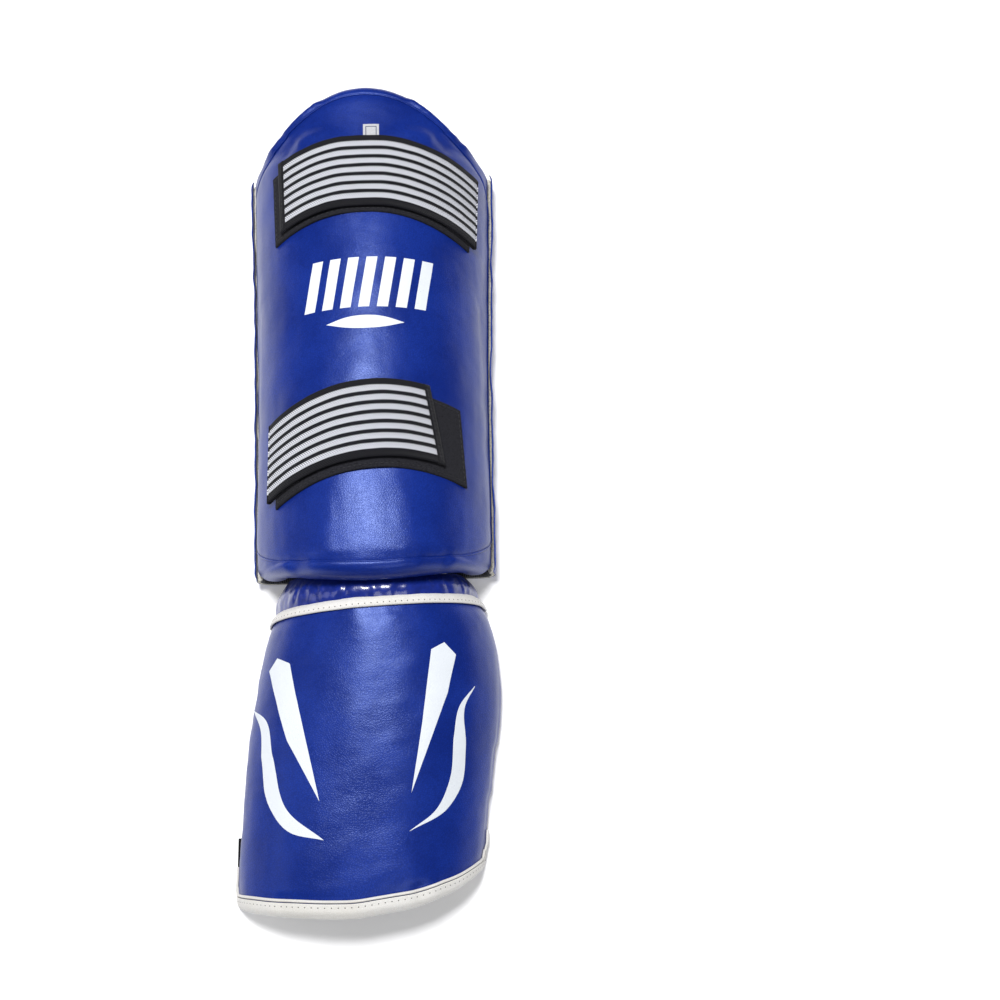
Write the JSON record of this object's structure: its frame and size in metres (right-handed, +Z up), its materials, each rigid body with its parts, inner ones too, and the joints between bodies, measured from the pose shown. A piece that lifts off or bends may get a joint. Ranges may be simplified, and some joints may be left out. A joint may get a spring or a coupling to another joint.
{
  "type": "shin guard",
  "caption": "Kickboxing shin-and-instep guard: padded half-round shin pad with hinged instep pad, hook-and-loop straps laid over the front, white-bound edges.",
  "frame": {"origin": "on the resting plane, under the middle of the guard's overall box, with the guard lying on its back edges", "axes": "+Y along the guard towards the knee, +Z up through the crown of the pads (the face that meets a kick), +X across to the right when seen from above with the knee end away from the viewer"},
  "size_m": [0.1724, 0.526, 0.092],
  "materials": {
    "blue_pu": "grained polyurethane leather, satin gloss",
    "blue_piping": "smooth polyurethane leather, gusset strip",
    "firm_foam": "closed-cell foam sheet",
    "soft_foam": "open-cell foam sheet",
    "lining": "brushed knit lining",
    "white_binding": "folded binding tape, semi-matt",
    "striped_webbing": "woven elastic, white stripes",
    "black_webbing": "woven elastic, plain",
    "loop_tape": "napped loop pile",
    "hook_tape": "moulded hook tape",
    "tag": "woven label",
    "blue_bridge": "glossy coated cloth, puckered",
    "white_print": "screen-printed ink film",
    "blue_thread": "twisted sewing thread",
    "white_thread": "twisted sewing thread",
    "black_thread": "twisted sewing thread"
  },
  "bodies": {
    "shin": {"shin_front_cover": "blue_pu", "shin_foam_core": "firm_foam", "shin_comfort_foam": "soft_foam", "shin_lining": "lining", "knee_gusset": "blue_piping", "ankle_gusset": "blue_piping", "right_side_gusset": "blue_piping", "left_side_gusset": "blue_piping", "right_wing_cover": "blue_pu", "left_wing_cover": "blue_pu", "right_wing_foam": "soft_foam", "left_wing_foam": "soft_foam", "right_wing_lining": "lining", "left_wing_lining": "lining", "upper_loop_patch": "loop_tape", "lower_loop_patch": "loop_tape", "upper_strap_tab": "black_webbing", "lower_strap_tab": "black_webbing", "size_tag": "tag", "ankle_bridge": "blue_bridge"},
    "upper_strap": {"upper_strap_webbing": "striped_webbing", "upper_strap_end_tape": "black_webbing", "upper_hook_tape": "hook_tape"},
    "lower_strap": {"lower_strap_webbing": "striped_webbing", "lower_strap_end_tape": "black_webbing", "lower_hook_tape": "hook_tape"},
    "instep": {"instep_cover": "blue_pu", "instep_foam_core": "firm_foam", "instep_lining": "lining", "instep_top_binding": "white_binding", "instep_toe_binding": "white_binding", "foot_elastic": "black_webbing"}
  },
  "joints": [
    {"name": "ankle_flex", "type": "hinge", "parent": "shin", "child": "instep", "pos_m": [0, -0.0735, 0.0655], "axis": [-1, 0, 0], "range_deg": [0, 75]},
    {"name": "upper_strap_fold", "type": "hinge", "parent": "shin", "child": "upper_strap", "pos_m": [0.07103, 0.185, 0.05413], "axis": [0.0221, 0.9997, 0.0144], "range_deg": [0, 150]},
    {"name": "lower_strap_fold", "type": "hinge", "parent": "shin", "child": "lower_strap", "pos_m": [-0.06112, 0.016, 0.06113], "axis": [0.0101, -0.9999, -0.0088], "range_deg": [0, 150]}
  ]
}
